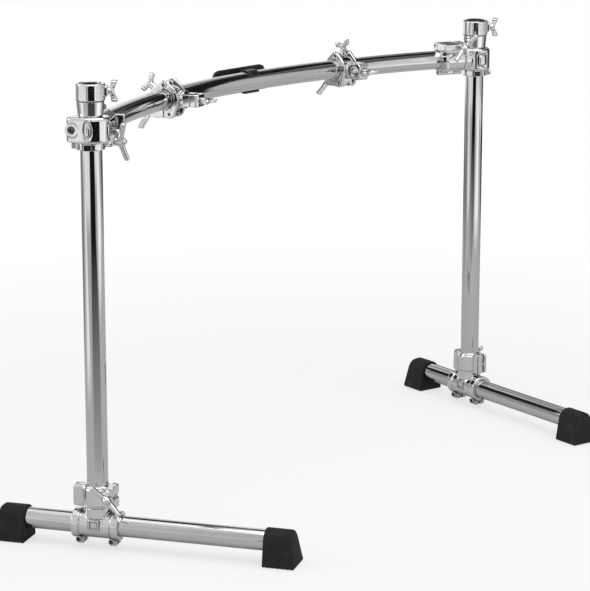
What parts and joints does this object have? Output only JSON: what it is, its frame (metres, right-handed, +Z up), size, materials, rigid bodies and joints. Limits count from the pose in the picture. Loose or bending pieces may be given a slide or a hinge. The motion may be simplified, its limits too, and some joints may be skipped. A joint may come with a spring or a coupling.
{
  "type": "drum rack frame",
  "caption": "Chrome tube drum rack: a curved top bar clamped to two uprights on short foot tubes, with clamps for drum and cymbal arms.",
  "frame": {"origin": "on the floor, under the middle of the whole frame's bounding box", "axes": "+X along the bar from the left upright to the right one as the drummer sees them, +Y away from the drummer, +Z up"},
  "size_m": [1.3728, 0.5632, 0.8398],
  "materials": {
    "chrome_tube": "polished plating",
    "chrome_casting": "polished plating on castings",
    "steel_screws": "bright plated steel",
    "black_rubber": "matt",
    "black_plastic": "fine grain"
  },
  "bodies": {
    "top_bar": {"curved_bar": "chrome_tube", "badge_plate": "black_plastic"},
    "left_corner": {"left_corner_body": "chrome_casting", "left_corner_jaw": "chrome_casting", "left_collar_screw": "steel_screws"},
    "left_corner_bolt": {"left_corner_swing_bolt": "steel_screws"},
    "left_corner_nut": {"left_corner_wing_nut": "chrome_casting"},
    "left_post": {"left_upright": "chrome_tube", "left_top_bushing": "black_plastic"},
    "left_lock": {"left_memory_lock": "chrome_casting", "left_memory_lock_screw": "steel_screws"},
    "left_top_clamp": {"left_top_clamp_body": "chrome_casting"},
    "left_top_screw": {"left_top_wing_screw": "chrome_casting"},
    "left_t_clamp": {"left_t_clamp_body": "chrome_casting", "left_t_clamp_jaw": "chrome_casting", "left_pinch_screw_front": "steel_screws", "left_pinch_screw_rear": "steel_screws"},
    "left_t_bolt": {"left_t_clamp_swing_bolt": "steel_screws"},
    "left_t_nut": {"left_t_clamp_wing_nut": "chrome_casting"},
    "left_base": {"left_base_tube": "chrome_tube", "left_foot_front": "black_rubber", "left_foot_rear": "black_rubber"},
    "right_corner": {"right_corner_body": "chrome_casting", "right_corner_jaw": "chrome_casting", "right_collar_screw": "steel_screws"},
    "right_corner_bolt": {"right_corner_swing_bolt": "steel_screws"},
    "right_corner_nut": {"right_corner_wing_nut": "chrome_casting"},
    "right_post": {"right_upright": "chrome_tube", "right_top_bushing": "black_plastic"},
    "right_lock": {"right_memory_lock": "chrome_casting", "right_memory_lock_screw": "steel_screws"},
    "right_top_clamp": {"right_top_clamp_body": "chrome_casting"},
    "right_top_screw": {"right_top_wing_screw": "chrome_casting"},
    "right_t_clamp": {"right_t_clamp_body": "chrome_casting", "right_t_clamp_jaw": "chrome_casting", "right_pinch_screw_front": "steel_screws", "right_pinch_screw_rear": "steel_screws"},
    "right_t_bolt": {"right_t_clamp_swing_bolt": "steel_screws"},
    "right_t_nut": {"right_t_clamp_wing_nut": "chrome_casting"},
    "right_base": {"right_base_tube": "chrome_tube", "right_foot_front": "black_rubber", "right_foot_rear": "black_rubber"},
    "left_multi": {"left_multi_clamp_body": "chrome_casting", "left_multi_clamp_jaw": "chrome_casting"},
    "left_multi_bolt": {"left_multi_clamp_swing_bolt": "steel_screws"},
    "left_multi_nut": {"left_multi_clamp_wing_nut": "chrome_casting"},
    "left_thumb": {"left_multi_thumb_screw": "chrome_casting"},
    "left_arm": {"left_tube_clamp_body": "chrome_casting", "left_tube_clamp_cap": "chrome_casting"},
    "left_arm_screw": {"left_tube_clamp_screw": "chrome_casting"},
    "right_multi": {"right_multi_clamp_body": "chrome_casting", "right_multi_clamp_jaw": "chrome_casting"},
    "right_multi_bolt": {"right_multi_clamp_swing_bolt": "steel_screws"},
    "right_multi_nut": {"right_multi_clamp_wing_nut": "chrome_casting"},
    "right_thumb": {"right_multi_thumb_screw": "chrome_casting"},
    "right_arm": {"right_tube_clamp_body": "chrome_casting", "right_tube_clamp_cap": "chrome_casting"},
    "right_arm_screw": {"right_tube_clamp_screw": "chrome_casting"}
  },
  "joints": [
    {"name": "left_corner_turn", "type": "hinge", "parent": "top_bar", "child": "left_corner", "pos_m": [-0.53597, 0.11641, 0.753], "axis": [0.8945, 0.447, 0], "range_deg": [-90, 90]},
    {"name": "left_corner_bolt_swing", "type": "hinge", "parent": "left_corner", "child": "left_corner_bolt", "pos_m": [-0.55279, 0.12143, 0.7255], "axis": [0.8945, 0.447, 0], "range_deg": [0, 90]},
    {"name": "left_corner_nut_turn", "type": "hinge", "parent": "left_corner_bolt", "child": "left_corner_nut", "pos_m": [-0.53343, 0.08269, 0.7255], "axis": [0.447, -0.8945, 0], "range_deg": [0, 360]},
    {"name": "left_post_slide", "type": "slide", "parent": "left_corner", "child": "left_post", "axis": [0, 0, 1], "range_m": [0, 0.45]},
    {"name": "left_lock_slide", "type": "slide", "parent": "left_post", "child": "left_lock", "axis": [0, 0, 1], "range_m": [-0.45, 0]},
    {"name": "left_top_clamp_swivel", "type": "hinge", "parent": "left_post", "child": "left_top_clamp", "pos_m": [-0.58881, 0.08836, 0.7778], "axis": [0, 0, 1], "continuous": true},
    {"name": "left_top_screw_turn", "type": "hinge", "parent": "left_top_clamp", "child": "left_top_screw", "pos_m": [-0.56967, 0.0636, 0.8203], "axis": [0.6115, -0.7912, 0], "range_deg": [0, 360]},
    {"name": "left_t_clamp_swivel", "type": "hinge", "parent": "left_post", "child": "left_t_clamp", "pos_m": [-0.58881, 0.08836, 0.042], "axis": [0, 0, 1], "continuous": true},
    {"name": "left_t_bolt_swing", "type": "hinge", "parent": "left_t_clamp", "child": "left_t_bolt", "pos_m": [-0.56769, 0.06704, 0.096], "axis": [0, 0, 1], "range_deg": [0, 90]},
    {"name": "left_t_nut_turn", "type": "hinge", "parent": "left_t_bolt", "child": "left_t_nut", "pos_m": [-0.59455, 0.05665, 0.096], "axis": [-0.9326, -0.3608, 0], "range_deg": [0, 360]},
    {"name": "left_base_slide", "type": "slide", "parent": "left_t_clamp", "child": "left_base", "axis": [0.3608, -0.9326, 0], "range_m": [-0.2, 0.06]},
    {"name": "right_corner_turn", "type": "hinge", "parent": "top_bar", "child": "right_corner", "pos_m": [0.54786, 0.11641, 0.753], "axis": [-0.8945, 0.447, 0], "range_deg": [-90, 90]},
    {"name": "right_corner_bolt_swing", "type": "hinge", "parent": "right_corner", "child": "right_corner_bolt", "pos_m": [0.56467, 0.12143, 0.7805], "axis": [-0.8945, 0.447, 0], "range_deg": [0, 90]},
    {"name": "right_corner_nut_turn", "type": "hinge", "parent": "right_corner_bolt", "child": "right_corner_nut", "pos_m": [0.54532, 0.08269, 0.7805], "axis": [-0.447, -0.8945, 0], "range_deg": [0, 360]},
    {"name": "right_post_slide", "type": "slide", "parent": "right_corner", "child": "right_post", "axis": [0, 0, 1], "range_m": [0, 0.45]},
    {"name": "right_lock_slide", "type": "slide", "parent": "right_post", "child": "right_lock", "axis": [0, 0, 1], "range_m": [-0.45, 0]},
    {"name": "right_top_clamp_swivel", "type": "hinge", "parent": "right_post", "child": "right_top_clamp", "pos_m": [0.60069, 0.08836, 0.7748], "axis": [0, 0, 1], "range_deg": [-60, 210]},
    {"name": "right_top_screw_turn", "type": "hinge", "parent": "right_top_clamp", "child": "right_top_screw", "pos_m": [0.61983, 0.0636, 0.8173], "axis": [0.6115, -0.7912, 0], "range_deg": [0, 360]},
    {"name": "right_t_clamp_swivel", "type": "hinge", "parent": "right_post", "child": "right_t_clamp", "pos_m": [0.60069, 0.08836, 0.042], "axis": [0, 0, 1], "continuous": true},
    {"name": "right_t_bolt_swing", "type": "hinge", "parent": "right_t_clamp", "child": "right_t_bolt", "pos_m": [0.59736, 0.11818, 0.096], "axis": [0, 0, 1], "range_deg": [0, 90]},
    {"name": "right_t_nut_turn", "type": "hinge", "parent": "right_t_bolt", "child": "right_t_nut", "pos_m": [0.62487, 0.10967, 0.096], "axis": [0.9553, -0.2957, 0], "range_deg": [0, 360]},
    {"name": "right_base_slide", "type": "slide", "parent": "right_t_clamp", "child": "right_base", "axis": [-0.2957, -0.9553, 0], "range_m": [-0.2, 0.06]},
    {"name": "left_multi_turn", "type": "hinge", "parent": "top_bar", "child": "left_multi", "pos_m": [-0.22919, 0.22124, 0.753], "axis": [0.981, 0.1939, 0], "range_deg": [-90, 90]},
    {"name": "left_multi_bolt_swing", "type": "hinge", "parent": "left_multi", "child": "left_multi_bolt", "pos_m": [-0.22686, 0.20947, 0.7255], "axis": [-0.981, -0.1939, 0], "range_deg": [0, 90]},
    {"name": "left_multi_nut_turn", "type": "hinge", "parent": "left_multi_bolt", "child": "left_multi_nut", "pos_m": [-0.23526, 0.25195, 0.7255], "axis": [-0.1939, 0.981, 0], "range_deg": [0, 360]},
    {"name": "left_thumb_turn", "type": "hinge", "parent": "left_multi", "child": "left_thumb", "pos_m": [-0.23956, 0.2531, 0.77575], "axis": [-0.1601, 0.8097, 0.5646], "range_deg": [0, 360]},
    {"name": "left_arm_turn", "type": "hinge", "parent": "left_multi", "child": "left_arm", "pos_m": [-0.22312, 0.19054, 0.753], "axis": [0.1939, -0.981, 0], "range_deg": [-90, 90]},
    {"name": "left_arm_screw_turn", "type": "hinge", "parent": "left_arm", "child": "left_arm_screw", "pos_m": [-0.21414, 0.14512, 0.753], "axis": [0.1939, -0.981, 0], "range_deg": [0, 360]},
    {"name": "right_multi_turn", "type": "hinge", "parent": "top_bar", "child": "right_multi", "pos_m": [0.29646, 0.20894, 0.753], "axis": [0.9709, -0.2396, 0], "range_deg": [-90, 90]},
    {"name": "right_multi_bolt_swing", "type": "hinge", "parent": "right_multi", "child": "right_multi_bolt", "pos_m": [0.29358, 0.19729, 0.7255], "axis": [-0.9709, 0.2396, 0], "range_deg": [0, 90]},
    {"name": "right_multi_nut_turn", "type": "hinge", "parent": "right_multi_bolt", "child": "right_multi_nut", "pos_m": [0.30396, 0.23933, 0.7255], "axis": [0.2396, 0.9709, 0], "range_deg": [0, 360]},
    {"name": "right_thumb_turn", "type": "hinge", "parent": "right_multi", "child": "right_thumb", "pos_m": [0.31069, 0.21653, 0.79183], "axis": [0.0641, 0.2597, 0.9636], "range_deg": [0, 360]},
    {"name": "right_arm_turn", "type": "hinge", "parent": "right_multi", "child": "right_arm", "pos_m": [0.28896, 0.17855, 0.753], "axis": [-0.2396, -0.9709, 0], "range_deg": [-90, 90]},
    {"name": "right_arm_screw_turn", "type": "hinge", "parent": "right_arm", "child": "right_arm_screw", "pos_m": [0.27786, 0.1336, 0.753], "axis": [-0.2396, -0.9709, 0], "range_deg": [0, 360]}
  ],
  "couplings": [
    {"joint": "right_post_slide", "follows": "left_post_slide", "ratio": 1},
    {"joint": "left_lock_slide", "follows": "left_post_slide", "ratio": -1},
    {"joint": "right_lock_slide", "follows": "left_post_slide", "ratio": -1}
  ]
}
